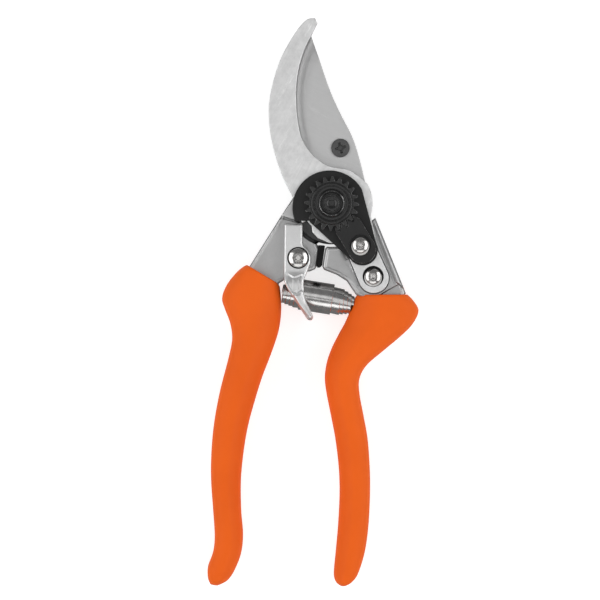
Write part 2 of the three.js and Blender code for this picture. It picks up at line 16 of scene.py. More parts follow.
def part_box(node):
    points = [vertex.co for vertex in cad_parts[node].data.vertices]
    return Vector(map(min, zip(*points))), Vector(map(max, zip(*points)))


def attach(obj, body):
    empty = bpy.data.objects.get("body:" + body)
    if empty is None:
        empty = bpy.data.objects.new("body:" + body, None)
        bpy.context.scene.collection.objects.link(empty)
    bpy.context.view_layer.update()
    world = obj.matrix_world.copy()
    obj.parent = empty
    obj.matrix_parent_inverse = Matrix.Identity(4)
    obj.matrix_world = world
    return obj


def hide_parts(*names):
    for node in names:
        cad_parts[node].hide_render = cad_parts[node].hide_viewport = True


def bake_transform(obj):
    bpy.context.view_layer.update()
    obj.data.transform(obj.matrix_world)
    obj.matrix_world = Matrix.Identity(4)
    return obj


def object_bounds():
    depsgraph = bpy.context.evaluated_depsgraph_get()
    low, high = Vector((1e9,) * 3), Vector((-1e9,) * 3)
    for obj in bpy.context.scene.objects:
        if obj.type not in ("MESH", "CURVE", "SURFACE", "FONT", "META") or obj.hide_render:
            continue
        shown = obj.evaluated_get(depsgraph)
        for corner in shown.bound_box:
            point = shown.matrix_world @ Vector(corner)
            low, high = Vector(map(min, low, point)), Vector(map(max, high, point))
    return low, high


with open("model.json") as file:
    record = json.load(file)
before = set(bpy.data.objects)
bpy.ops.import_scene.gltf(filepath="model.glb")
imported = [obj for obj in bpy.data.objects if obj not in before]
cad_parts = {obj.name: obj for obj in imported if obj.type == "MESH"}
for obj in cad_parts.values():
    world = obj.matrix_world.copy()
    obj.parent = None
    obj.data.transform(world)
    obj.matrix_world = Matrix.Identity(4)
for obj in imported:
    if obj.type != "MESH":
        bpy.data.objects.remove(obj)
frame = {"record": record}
CAD_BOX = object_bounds()
MM = 0.001

# ------------------------ sizes taken from the frame


def span(node):
    """(lowest, highest) Z of a CAD node, in millimetres."""
    low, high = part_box(node)
    return low.z / MM, high.z / MM


def centre(node):
    low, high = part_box(node)
    return ((low.x + high.x) / 2 / MM, (low.y + high.y) / 2 / MM)


HOOK_LOW, HOOK_TOP = span("hook_blade")
BLADE_LOW, BLADE_TOP = span("cutting_blade")
PLATE_LOW, PLATE_TOP = span("cover_plate")
SEGMENT_LOW, SEGMENT_TOP = span("locking_segment")
NUT_LOW = span("toothed_nut")[0]
CORE_LOW = span("hook_handle_core")[0]
LATCH_LOW, LEVER_TOP = span("thumb_latch")
BOLT_LOW, BOLT_TOP = span("pivot_bolt")
GRIP_LOW, GRIP_TOP = span("blade_handle_grip")
GRIP_MID = (GRIP_LOW + GRIP_TOP) / 2
LOCK_SCREW_AT = centre("locking_screw")
HOOK_SCREW_AT = centre("hook_screw")
LATCH_SCREW_AT = centre("latch_screw")
BLADE_SCREW_AT = centre("blade_screw")
RUNNING_GAP = 0.1
BOSS_TOP = BLADE_LOW - RUNNING_GAP
ARM_TOP = BLADE_TOP
LATCH_THICKNESS = 2.9
LATCH_TOP = LATCH_LOW + LATCH_THICKNESS

# Recesses round the screw heads, and the small washers in two of them.
SCREW_RECESS_R = 4.0
HOOK_RECESS = 1.3
SEGMENT_RECESS = 1.1
LATCH_RECESS_R = 4.15
LATCH_RECESS = 1.5
SMALL_WASHER_HOLE_R = 2.45
SMALL_WASHER_R = 3.4

# ------------------------ plane outlines


def polar(radius, degrees, middle=(0, 0)):
    turn = math.radians(degrees)
    return (middle[0] + radius * math.cos(turn), middle[1] + radius * math.sin(turn))


def arc(middle, radius, start, end, steps=24):
    return [polar(radius, start + (end - start) * i / steps, middle) for i in range(steps + 1)]


def circle(middle, radius, steps=48):
    return arc(middle, radius, 0, 360 - 360 / steps, steps - 1)


def smooth(points, steps):
    """Points along the Catmull-Rom curve through the given ones."""
    p = np.array(points, float)
    last = len(p) - 1
    out = []
    for t in np.linspace(0, last, steps + 1):
        i = min(int(t), last - 1)
        w = t - i
        a, b, c, d = p[max(i - 1, 0)], p[i], p[i + 1], p[min(i + 2, last)]
        u, v = (c - a) / 2, (d - b) / 2
        out.append((2 * b - 2 * c + u + v) * w**3 + (-3 * b + 3 * c - 2 * u - v) * w**2 + u * w + b)
    return [tuple(q) for q in out]


def rounded(corners, radius, steps=5):
    """A polygon with each corner cut by an arc-like curve of about this radius."""
    out = []
    count = len(corners)
    for i, corner in enumerate(corners):
        p = np.array(corner, float)
        to_last = np.array(corners[i - 1], float) - p
        to_next = np.array(corners[(i + 1) % count], float) - p
        reach = min(radius, 0.45 * np.linalg.norm(to_last), 0.45 * np.linalg.norm(to_next))
        a = p + to_last / np.linalg.norm(to_last) * reach
        b = p + to_next / np.linalg.norm(to_next) * reach
        for t in np.linspace(0, 1, steps):
            out.append(tuple((1 - t) ** 2 * a + 2 * t * (1 - t) * p + t * t * b))
    return out


def divided(loop, spacing):
    """The closed loop with extra points, so that no side is longer than spacing."""
    out = []
    for a, b in zip(loop, np.roll(loop, -1, axis=0)):
        parts = max(1, math.ceil(np.linalg.norm(b - a) / spacing))
        out += [a + (b - a) * k / parts for k in range(parts)]
    return np.array(out)


def anticlockwise(loop):
    loop = np.array(loop, float)
    following = np.roll(loop, -1, axis=0)
    area = np.sum(loop[:, 0] * following[:, 1] - loop[:, 1] * following[:, 0])
    return loop if area > 0 else loop[::-1]


# How many points are measured at a time, so that the arrays stay small.
CHUNK = 1500


def depth_inside(points, loop):
    """How far each point lies inside the closed loop; negative outside."""
    a, b = loop, np.roll(loop, -1, axis=0)
    side = b - a
    length = np.maximum(np.sum(side**2, axis=1), 1e-12)
    found = np.empty(len(points))
    for start in range(0, len(points), CHUNK):
        p = points[start : start + CHUNK, None, :]
        t = np.clip(np.sum((p - a) * side, axis=2) / length, 0, 1)
        near = np.sqrt(np.sum((a + t[..., None] * side - p) ** 2, axis=2)).min(axis=1)
        above = (a[:, 1] > p[..., 1]) != (b[:, 1] > p[..., 1])
        rise = np.where(np.abs(side[:, 1]) < 1e-12, 1e-12, side[:, 1])
        crossing = a[:, 0] + (p[..., 1] - a[:, 1]) / rise * side[:, 0]
        inside = np.sum(above & (p[..., 0] < crossing), axis=1) % 2 == 1
        found[start : start + CHUNK] = np.where(inside, near, -near)
    return found


def distance_to(points, line):
    """Distance of each point to an open line of points."""
    line = np.array(line, float)
    a, side = line[:-1], line[1:] - line[:-1]
    length = np.maximum(np.sum(side**2, axis=1), 1e-12)
    p = points[:, None, :]
    t = np.clip(np.sum((p - a) * side, axis=2) / length, 0, 1)
    return np.sqrt(np.sum((a + t[..., None] * side - p) ** 2, axis=2)).min(axis=1)


# ------------------------ meshes

STEP_SPACING = 0.6
# How far inside the rim a step or crease lies, and the least thickness a plate keeps.
RIM_MARGIN = 0.05
THINNEST = 0.05
# The rim and recess mark: how wide the rim band is (bare metal on blackened parts, painted shade on ground
# steel), and its values in a recess painted with shade and on a polished crest.
RIM_WEAR_AND_SHADE_WIDTH = 0.5
RECESS_SHADE_MARK = -1
CREST_WEAR = 0.92


def outward(vertices, faces):
    """The faces of a closed body, all turned to face out."""
    triangles = np.array([(f[0], f[k], f[k + 1]) for f in faces for k in range(1, len(f) - 1)])
    a, b, c = (np.array(vertices, float)[triangles[:, k]] for k in range(3))
    volume = np.einsum("ij,ij->i", a, np.cross(b, c)).sum()
    return faces if volume > 0 else [tuple(f[::-1]) for f in faces]


def build(name, *parts, sharp=34):
    """One object from parts, each (vertices in mm, faces, rim and recess mark of each vertex).

    The mark runs from 0 to 1 along the rim, where blackened parts show bare metal and ground steel gets
    painted shade, and is -1 in a recess painted with shade.
    """
    vertices, faces, wear_and_shade = [], [], []
    for part_vertices, part_faces, part_wear_and_shade in parts:
        shift = len(vertices)
        vertices += [tuple(c * MM for c in v) for v in part_vertices]
        faces += [tuple(i + shift for i in f) for f in part_faces]
        wear_and_shade += list(part_wear_and_shade)
    mesh = bpy.data.meshes.new(name)
    mesh.from_pydata(vertices, [], faces)
    mesh.attributes.new("wear_and_shade", "FLOAT", "POINT").data.foreach_set("value", wear_and_shade)
    mesh.update()
    mesh.shade_smooth()
    mesh.set_sharp_from_angle(angle=math.radians(sharp))
    made = bpy.data.objects.new(name, mesh)
    bpy.context.scene.collection.objects.link(made)
    return made


def round_edge(radius):
    """Distance from the edge and drop below the face, for a rounded edge."""
    angles = [math.radians(a) for a in (0, 25, 50, 70, 90)]
    return [(radius * (1 - math.cos(a)), radius * (1 - math.sin(a))) for a in angles]


class Step:
    """A raised or sunk area on a plate's front: its outline, height, and the width of its sloping side."""

    def __init__(self, loop, height, slope=0.2, corners=0.0, painted_shade=False):
        loop = rounded(loop, corners) if corners else loop
        self.loop = divided(anticlockwise(loop), STEP_SPACING)
        self.height = height
        self.slope = slope
        # This flag marks a recess that the materials paint near black as shade.
        self.painted_shade = painted_shade

    def at(self, points):
        t = np.clip(depth_inside(points, self.loop) / self.slope, 0, 1)
        return self.height * t * t * (3 - 2 * t)


def inset_rings(loop, distances):
    """Closed-loop points moved inwards, with the links between neighbours that stay at full distance."""
    side = np.roll(loop, -1, axis=0) - np.roll(loop, 1, axis=0)
    inward = np.stack([-side[:, 1], side[:, 0]], axis=1)
    inward /= np.maximum(np.linalg.norm(inward, axis=1), 1e-9)[:, None]
    rings = []
    for distance in distances:
        moved = loop + inward * distance
        kept = depth_inside(moved, loop) > 0.96 * distance
        rings.append((moved, kept))
    return rings


def plate(outline, low, high, holes=(), steps=(), creases=(), relief=None, under=None,
          edge=None, back_edge=None, grid=1.6, fine=0.6):
    """A flat part with a shaped front. edge and back_edge list (distance, drop) from the rim inwards.

    steps are raised or sunk areas, creases are open lines the mesh follows, and relief and under shape the
    front and the back as functions of the plane position.
    """
    edge = edge or round_edge(0.35)
    back_edge = back_edge or round_edge(0.3)
    loops = [divided(anticlockwise(outline), fine)]
    loops += [divided(anticlockwise(hole), fine)[::-1] for hole in holes]
    points, links = [], []

    def add(ring, kept, closed=True):
        index = {}
        for i in np.flatnonzero(kept):
            index[i] = len(points)
            points.append(ring[i])
        for i in index:
            following = (i + 1) % len(ring)
            if following in index and (closed or following):
                links.append((index[i], index[following]))

    for loop in loops:
        add(loop, np.ones(len(loop), bool))
    rims = sorted({round(d, 4) for d, _ in edge + back_edge if d > 0})
    for loop in loops:
        for ring, kept in inset_rings(loop, rims):
            add(ring, kept)
    for step in steps:
        add(step.loop, depth_inside(step.loop, loops[0]) > RIM_MARGIN)
        for ring, kept in inset_rings(step.loop, (step.slope / 2, step.slope)):
            add(ring, kept & (depth_inside(ring, loops[0]) > RIM_MARGIN))

    for crease in creases:
        way_back = max(1, math.ceil(math.dist(crease[-1], crease[0]) / fine))
        line = divided(np.array(crease, float), fine)[:-way_back]
        add(line, depth_inside(line, loops[0]) > RIM_MARGIN, closed=False)

    box_low, box_high = loops[0].min(axis=0), loops[0].max(axis=0)
    rows = np.arange(box_low[1], box_high[1], grid * 0.866)
    columns = np.arange(box_low[0], box_high[0], grid)
    seeds = np.array([(x + (k % 2) * grid / 2, y) for k, y in enumerate(rows) for x in columns])
    clear = depth_inside(seeds, loops[0]) > rims[-1] + 0.4 * grid
    for hole in loops[1:]:
        clear &= depth_inside(seeds, hole[::-1]) < -(rims[-1] + 0.4 * grid)
    for step in steps:
        away = depth_inside(seeds, step.loop)
        clear &= (away < -0.3 * grid) | (away > step.slope + 0.3 * grid)
    for crease in creases:
        clear &= distance_to(seeds, crease) > 0.3 * grid
    points += list(seeds[clear])

    flat = [Vector((float(x), float(y))) for x, y in points]
    spots, _, triangles, *_ = delaunay_2d_cdt(flat, links, [], 0, 1e-5)
    spots = np.array([(v.x, v.y) for v in spots])
    triangles = np.array([t for t in triangles if len(t) == 3])
    middles = spots[triangles].mean(axis=1)
    keep = depth_inside(middles, loops[0]) > 0
    for hole in loops[1:]:
        keep &= depth_inside(middles, hole[::-1]) < 0
    triangles = triangles[keep]
    used = np.unique(triangles)
    renumber = np.full(len(spots), -1)
    renumber[used] = np.arange(len(used))
    spots, triangles = spots[used], renumber[triangles]

    inside = np.maximum(depth_inside(spots, loops[0]), 0)
    for hole in loops[1:]:
        inside = np.minimum(inside, np.maximum(-depth_inside(spots, hole[::-1]), 0))
    top = high - np.interp(inside, *zip(*edge))
    bottom = low + np.interp(inside, *zip(*back_edge))
    for step in steps:
        top = top + step.at(spots)
    if relief is not None:
        top = top + relief(spots)
    if under is not None:
        bottom = bottom + under(spots)
    bottom = np.minimum(bottom, top - THINNEST)

    count = len(spots)
    vertices = [(x, y, z) for (x, y), z in zip(spots, top)] + [(x, y, z) for (x, y), z in zip(spots, bottom)]
    a, b, c = spots[triangles[:, 0]], spots[triangles[:, 1]], spots[triangles[:, 2]]
    turned_over = np.cross(b - a, c - a) < 0
    triangles[turned_over] = triangles[turned_over][:, ::-1]
    faces = [tuple(int(i) for i in t) for t in triangles]
    faces += [tuple(int(i) + count for i in t[::-1]) for t in triangles]
    sides = {(int(t[k]), int(t[(k + 1) % 3])) for t in triangles for k in range(3)}
    faces += [(i + count, j + count, j, i) for i, j in sorted(sides) if (j, i) not in sides]
    # The rim band: bare metal on blackened parts, painted shade on ground steel.
    wear_and_shade = np.clip(1 - inside / RIM_WEAR_AND_SHADE_WIDTH, 0, 1)
    # Recesses marked for painted shade get their own mark value, which the materials paint near black.
    for step in steps:
        if step.painted_shade:
            wear_and_shade[depth_inside(spots, step.loop) > step.slope / 3] = RECESS_SHADE_MARK
    return vertices, faces, [float(w) for w in wear_and_shade] + [0.0] * count


def turned(profile, middle=(0, 0), sides=64):
    """A turned part from (radius, height) pairs that start and end on the axis."""
    vertices, faces, rings = [], [], []
    for radius, z in profile:
        if radius < 1e-6:
            rings.append([len(vertices)])
            vertices.append((*middle, z))
            continue
        rings.append(list(range(len(vertices), len(vertices) + sides)))
        vertices += [(*polar(radius, 360 * i / sides, middle), z) for i in range(sides)]
    for a, b in zip(rings, rings[1:]):
        for i in range(sides):
            j = (i + 1) % sides
            ring = [a[i % len(a)], a[j % len(a)], b[j % len(b)], b[i % len(b)]]
            face = list(dict.fromkeys(ring))
            if len(face) > 2:
                faces.append(tuple(face))
    return vertices, outward(vertices, faces), [0.0] * len(vertices)


def ring_profile(inner, outer, low, high, soft=0.15):
    """A closed section of a washer or bush with broken edges."""
    return [
        (inner, low + soft), (inner + soft, low), (outer - soft, low), (outer, low + soft),
        (outer, high - soft), (outer - soft, high), (inner + soft, high), (inner, high - soft),
    ]


def turned_ring(section, middle=(0, 0), sides=64, polished=()):
    """A ring from its closed section of (radius, height) pairs.

    polished holds the numbers of the pairs that are worn bright.
    """
    vertices = [(*polar(r, 360 * i / sides, middle), z) for i in range(sides) for r, z in section]
    count = len(section)
    faces = []
    for i in range(sides):
        a, b = i * count, ((i + 1) % sides) * count
        faces += [(a + k, b + k, b + (k + 1) % count, a + (k + 1) % count) for k in range(count)]
    wear_and_shade = [CREST_WEAR if k in polished else 0.0 for k in range(count)] * sides
    return vertices, outward(vertices, faces), wear_and_shade


def loft(rings):
    """A closed part through rings of equally many points, with both ends capped."""
    size = len(rings[0])
    vertices = [tuple(point) for ring in rings for point in ring]
    faces = [tuple(range(size))]
    for ring in range(len(rings) - 1):
        a, b = ring * size, (ring + 1) * size
        faces += [(a + k, b + k, b + (k + 1) % size, a + (k + 1) % size) for k in range(size)]
    faces.append(tuple(range((len(rings) - 1) * size, len(rings) * size))[::-1])
    return vertices, outward(vertices, faces), [0.0] * len(vertices)


# ------------------------ materials


class Nodes:
    """A short way to write a material's node tree."""

    def __init__(self, name):
        self.material = bpy.data.materials.new(name)
        self.material.use_nodes = True
        self.tree = self.material.node_tree
        self.shader = self.tree.nodes["Principled BSDF"]
        self.place = self.node("ShaderNodeTexCoord").outputs["Object"]

    def node(self, kind, inputs=None, **settings):
        made = self.tree.nodes.new(kind)
        for key, value in settings.items():
            setattr(made, key, value)
        for key, value in (inputs or {}).items():
            if isinstance(value, bpy.types.NodeSocket):
                self.tree.links.new(value, made.inputs[key])
            else:
                made.inputs[key].default_value = value
        return made

    def noise(self, scale, detail=4.0, stretch=1.0, turn=0.0, roughness=0.55):
        """Noise in object space; scale is per metre, stretch draws it out along a line turned by turn."""
        mapped = self.node(
            "ShaderNodeMapping",
            {"Vector": self.place, "Rotation": (0, 0, math.radians(turn)), "Scale": (stretch, 1, 1)},
            vector_type="TEXTURE",
        ).outputs["Vector"]
        inputs = {"Vector": mapped, "Scale": scale, "Detail": detail, "Roughness": roughness}
        return self.node("ShaderNodeTexNoise", inputs).outputs["Fac"]

    def ramp(self, value, low, high, start=0.0, end=1.0):
        inputs = {"Value": value, "From Min": start, "From Max": end, "To Min": low, "To Max": high}
        return self.node("ShaderNodeMapRange", inputs).outputs["Result"]

    def mix(self, factor, a, b):
        made = self.node("ShaderNodeMix", data_type="RGBA")
        for socket, value in ((made.inputs[0], factor), (made.inputs[6], a), (made.inputs[7], b)):
            if isinstance(value, bpy.types.NodeSocket):
                self.tree.links.new(value, socket)
            else:
                socket.default_value = value
        return made.outputs[2]

    def bump(self, height, strength, distance=0.0001, normal=None):
        inputs = {"Height": height, "Strength": strength, "Distance": distance}
        if normal is not None:
            inputs["Normal"] = normal
        return self.node("ShaderNodeBump", inputs).outputs["Normal"]

    def maths(self, operation, a, b):
        return self.node("ShaderNodeMath", {0: a, 1: b}, operation=operation).outputs[0]

    # The rim band: bare metal on blackened parts, painted shade along ground steel edges.
    def rim_wear_and_shade(self, start, end):
        """1 along a plate's rim and 0 away from it, broken up by noise."""
        rim = self.node("ShaderNodeAttribute", attribute_name="wear_and_shade").outputs["Fac"]
        patchy = self.ramp(self.noise(600, 5, roughness=0.75), -0.25, 0.25, 0.3, 0.7)
        return self.ramp(self.maths("ADD", rim, patchy), 0.0, 1.0, start, end)

    def recess_shade(self):
        """1 in the recesses marked for painted shade, 0 elsewhere."""
        rim = self.node("ShaderNodeAttribute", attribute_name="wear_and_shade").outputs["Fac"]
        return self.ramp(rim, 1.0, 0.0, -0.9, -0.3)

    def joint_shade(self, middle, radius, above, below):
        """1 in the painted shade of the deep joint round a point, and only between two heights; 0 elsewhere.
        """
        inputs = {0: self.place, 1: (middle[0] * MM, middle[1] * MM, 0)}
        away = self.node("ShaderNodeVectorMath", inputs, operation="SUBTRACT").outputs[0]
        split = self.node("ShaderNodeSeparateXYZ", {0: away})
        across, up, height = split.outputs[:3]
        flat = self.node("ShaderNodeCombineXYZ", {0: across, 1: up, 2: 0.0}).outputs[0]
        length = self.node("ShaderNodeVectorMath", {0: flat}, operation="LENGTH").outputs["Value"]
        ragged = self.ramp(self.noise(500, 4), -0.0006, 0.0006, 0.3, 0.7)
        far = self.maths("ADD", length, ragged)
        near = self.ramp(far, 1.0, 0.0, (radius - 0.5) * MM, (radius + 0.5) * MM)
        under = self.ramp(height, 1.0, 0.0, (below - 0.3) * MM, below * MM)
        over = self.ramp(height, 0.0, 1.0, (above - 0.3) * MM, above * MM)
        return self.maths("MULTIPLY", near, self.maths("MULTIPLY", under, over))

    def link(self, socket, value):
        self.tree.links.new(value, self.shader.inputs[socket])

    def set(self, **values):
        for key, value in values.items():
            self.shader.inputs[key.replace("_", " ")].default_value = value
        return self.material


def grey(value, warm=0.0):
    return (value * (1 + warm), value, value * (1 - warm), 1)


def brushed_steel(name, light, dark, roughness, turn, mottle, joint_shade_at=None):
    """Ground steel: fine lines in one direction, cloudy tone, and scattered handling marks."""
    n = Nodes(name)
    lines = n.noise(900, 6, 24.0, turn, 0.7)
    marks = n.noise(380, 6, 4.5, turn, 0.8)
    clouds = n.noise(330, 5, roughness=0.65)
    tone = n.mix(n.ramp(lines, 0.0, 1.0, 0.3, 0.7), grey(dark), grey(light))
    cloudy = n.mix(n.ramp(clouds, 0.0, 1.0, 0.35, 0.65), grey(light * (1 - mottle)), grey(light))
    marked = n.mix(n.ramp(marks, 0.0, 1.0, 0.58, 0.72), n.mix(0.55, tone, cloudy), grey(light * 1.15))
    # Painted shade: the rim band darkens the ground steel's edges into a dark outline.
    edge = n.mix(n.rim_wear_and_shade(0.75, 1.1), marked, grey(dark * 0.55))
    # Painted shade: near black in the recesses marked for it.
    edge = n.mix(n.recess_shade(), edge, grey(0.02))
    # Painted shade: dark in the deep joint, where the hook's notches open onto the blade.
    if joint_shade_at:
        edge = n.mix(n.joint_shade(*joint_shade_at), edge, grey(0.07))
    n.link("Base Color", edge)
    n.link("Roughness", n.ramp(marks, roughness - 0.05, roughness + 0.07, 0.3, 0.7))
    n.link("Normal", n.bump(lines, 0.12, 0.00004, n.bump(clouds, mottle, 0.0001)))
    return n.set(Metallic=0.95)


def cast_alloy(name, light, roughness, joint_shade_at=None):
    """Forged alloy with a tumbled, satin skin, painted shade deep in the joint, and painted shade in marked
    recesses.
    """
    n = Nodes(name)
    grain = n.noise(2400, 5, roughness=0.7)
    clouds = n.noise(180, 4)
    tone = n.mix(n.ramp(clouds, 0.0, 1.0, 0.35, 0.65), grey(light * 0.93), grey(light))
    tone = n.mix(n.ramp(grain, 0.0, 0.25, 0.4, 0.7), tone, grey(light * 0.8))
    # Painted shade: near black in the recesses marked for it.
    tone = n.mix(n.recess_shade(), tone, grey(0.02))
    # Painted shade: dark on the casting deep in the joint.
    if joint_shade_at:
        tone = n.mix(n.joint_shade(*joint_shade_at), tone, grey(0.04))
    n.link("Base Color", tone)
    n.link("Roughness", n.ramp(grain, roughness - 0.07, roughness + 0.1, 0.3, 0.7))
    n.link("Normal", n.bump(grain, 0.2, 0.00005, n.bump(n.noise(350, 3), 0.12, 0.0001)))
    return n.set(Metallic=0.9)


def black_finish(name, tone, wear_and_shade, roughness=0.38, shine=0.3):
    """Blackened steel, with bare metal where its rim is worn. The third argument is the rim level at which
    the bare metal starts.
    """
    n = Nodes(name)
    worn = n.rim_wear_and_shade(wear_and_shade, wear_and_shade + 0.25)
    skin = n.mix(n.ramp(n.noise(160, 4), 0.0, 1.0, 0.3, 0.7), grey(tone * 0.7), grey(tone))
    n.link("Base Color", n.mix(worn, skin, grey(0.5)))
    n.link("Metallic", n.ramp(worn, 0.0, 1.0))
    n.link("Roughness", n.ramp(n.noise(1100, 5), roughness - 0.08, roughness + 0.12, 0.3, 0.7))
    n.link("Normal", n.bump(n.noise(1500, 5), 0.15, 0.00005))
    return n.set(Specular_IOR_Level=shine)


def bright_plate(name, light, roughness, warm=0.012):
    """Nickel-plated or polished strip steel."""
    n = Nodes(name)
    tone = n.ramp(n.noise(300, 4), 0.0, 1.0, 0.35, 0.65)
    n.link("Base Color", n.mix(tone, grey(light * 0.82, warm), grey(light, warm)))
    n.link("Roughness", n.ramp(n.noise(900, 5), roughness - 0.05, roughness + 0.09, 0.3, 0.7))
    n.link("Normal", n.bump(n.noise(1500, 4), 0.06, 0.00004))
    return n.set(Metallic=1.0)


def vinyl(name, colour, deep):
    """Dipped vinyl: saturated, satin, with a very fine orange-peel skin."""
    n = Nodes(name)
    n.link("Base Color", n.mix(n.ramp(n.noise(45, 3), 0.0, 1.0, 0.3, 0.7), deep, colour))
    n.link("Roughness", n.ramp(n.noise(700, 5), 0.5, 0.64, 0.3, 0.7))
    n.link("Normal", n.bump(n.noise(1900, 4), 0.10, 0.00005, n.bump(n.noise(160, 2), 0.05, 0.0002)))
    return n.set(Specular_IOR_Level=0.12)


def rubber(name):
    n = Nodes(name)
    n.link("Base Color", n.mix(n.noise(300, 4), grey(0.005), grey(0.012)))
    n.link("Roughness", n.ramp(n.noise(1200, 5), 0.7, 0.9, 0.3, 0.7))
    n.link("Normal", n.bump(n.noise(2200, 5), 0.3, 0.00008))
    return n.set(Specular_IOR_Level=0.15)


# Where painted shade darkens the deep joint: the middle and radius in plan, and the heights it lies between.
CASTING_JOINT_SHADE = ((-2.0, -8.0), 12.0, 8.8, 11.2)
BLADE_JOINT_SHADE = ((-5.5, -9.5), 7.5, 9.6, 14.0)
HOOK_STEEL = brushed_steel("hook_steel", 0.84, 0.68, 0.44, 62, 0.22)
BLADE_STEEL = brushed_steel("blade_steel", 0.60, 0.55, 0.42, -28, 0.05, BLADE_JOINT_SHADE)
CAST = cast_alloy("cast_alloy", 0.48, 0.42, CASTING_JOINT_SHADE)
LATCH_CAST = cast_alloy("latch_alloy", 0.72, 0.40)
BLACK = black_finish("black_oxide", 0.010, 1.1)
BLACK_WORN = black_finish("black_oxide_worn", 0.012, 0.80, 0.2, 0.45)
BLACK_RUBBED = black_finish("black_oxide_rubbed", 0.018, 0.86)
BLACK_ZINC = black_finish("black_zinc", 0.08, 1.0, 0.3)
BRIGHT = bright_plate("bright_steel", 0.56, 0.17, 0.02)
BUSH_STEEL = bright_plate("bush_steel", 0.5, 0.3)
SPRING_STEEL = bright_plate("spring_steel", 0.62, 0.18, 0.015)
ORANGE = vinyl("orange_vinyl", (0.84, 0.126, 0.010, 1), (0.79, 0.114, 0.009, 1))
RUBBER = rubber("black_rubber")


def stand_for(node, material, piece):
    """Gives a finished piece its material and puts it in its CAD node's place, on that node's body."""
    bodies = frame["record"]["behaviour"]["bodies"]
    body = next(name for name, nodes in bodies.items() if node in nodes)
    piece.data.materials.append(material)
    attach(piece, body)
    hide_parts(node)


# ------------------------ hook and blade

HOOK_BACK = [
    (-8.1, 70.0), (-9.6, 69.3), (-12.2, 66.6), (-15.5, 61.7), (-19.3, 54.5), (-21.8, 46.9), (-23.4, 39.4),
    (-23.7, 33.0), (-22.9, 25.2), (-21.0, 17.5), (-18.4, 10.2), (-14.7, 2.7),
]
HOOK_MOUTH = [
    (10.8, 10.1), (7.0, 12.6), (3.8, 13.4), (0.3, 13.9), (-2.9, 15.2), (-5.4, 17.0), (-7.8, 19.2),
    (-10.2, 22.6), (-11.9, 26.8), (-13.1, 34.0), (-13.4, 42.0), (-12.5, 50.6), (-10.2, 58.3),
    (-7.6, 63.6), (-5.3, 68.2),
]
HEAD_R = 15.5
TANG_END = (15.9, -28.0)
TANG_R = 5.7
BOLT_R = 4.1
SCREW_R = 2.1
BOSS_R = 15.1
BUSH_HOLE_R = 5.3


def hook_heel():
    """The notched heel under the cover plate, where the latch's corner goes in."""
    tall, deep = 13.1, 11.2
    return [
        polar(tall, 172.5), polar(tall, 178.5), *arc((0, 0), deep, 178.5, 193, 5),
        *arc((0, 0), tall, 196.5, 213.5, 7), *arc((0, 0), deep, 213.5, 228, 5),
        polar(12.9, 236), polar(13.9, 248), polar(14.8, 266), polar(15.1, 278), polar(15.1, 290),
    ]


def tang_outline(spread=0.0):
    return [
        (6.9 - spread, -21.0),
        *arc(TANG_END, TANG_R + spread, 200, 380, 30),
        (17.6 + spread, -18.2),
    ]


def make_hook():
    outline = [
        *smooth(HOOK_BACK, 90), *hook_heel(), *tang_outline(), *arc((0, 0), HEAD_R, -17, 28, 30),
        *smooth(HOOK_MOUTH, 120), (-6.2, 70.0),
    ]
    hook = plate(
        outline, HOOK_LOW, HOOK_TOP,
        holes=[circle((0, 0), BOLT_R), circle(HOOK_SCREW_AT, SCREW_R)],
        # The recess round the screw head is painted with shade.
        steps=[Step(circle(HOOK_SCREW_AT, SCREW_RECESS_R), -HOOK_RECESS, 0.12, painted_shade=True)],
        edge=round_edge(0.22),
    )
    stand_for("hook_blade", HOOK_STEEL, build("hook_blade_ground", hook))


SPINE = [(-7.6, 63.6), (-4.35, 54.1), (-0.6, 43.15), (3.2, 34.6), (7.4, 26.5), (9.65, 20.4), (11.7, 12.9)]
CUTTING_EDGE = [
    (-14.6, 1.4), (-13.6, 6.0), (-14.0, 13.0), (-15.6, 22.0), (-17.2, 31.0), (-17.5, 40.0),
    (-16.2, 48.5), (-13.4, 56.0), (-10.0, 61.6), (-7.9, 63.8),
]
HEEL_CORNER = (-19.0, -4.4)
HEEL_STEP = (-11.6, -6.7)
GROUND_EDGE = smooth(CUTTING_EDGE, 80)[20:]
# The hollow beside the cutting edge, as (distance from the edge, depth), and the bevel behind it.
HOLLOW = [(0, 1.45), (5.0, 0.55), (7.4, 0.05), (8.2, 0)]
BEVEL_HEIGHT = 1.5
BEVEL_WIDTH = 7.0


def blade_front(points):
    """The hollow-ground relief beside the cutting edge."""
    near = distance_to(points, GROUND_EDGE)
    return -np.interp(near, *zip(*HOLLOW))


def blade_back(points):
    """The long sharpening bevel, ground on the side away from the hook."""
    near = distance_to(points, GROUND_EDGE)
    return BEVEL_HEIGHT * np.clip(1 - near / BEVEL_WIDTH, 0, 1)


def make_blade():
    outline = [
        *smooth(SPINE, 60), *arc((0, 0), 14.9, 29, -147, 80), HEEL_STEP, HEEL_CORNER,
        *smooth(CUTTING_EDGE, 80),
    ]
    blade = plate(
        outline, BLADE_LOW, BLADE_TOP,
        holes=[circle((0, 0), BOLT_R), circle(BLADE_SCREW_AT, SCREW_R, 32)],
        relief=blade_front, under=blade_back, edge=round_edge(0.25), back_edge=round_edge(0.25), grid=1.2,
    )
    stand_for("cutting_blade", BLADE_STEEL, build("cutting_blade_ground", blade))


# ------------------------ grips

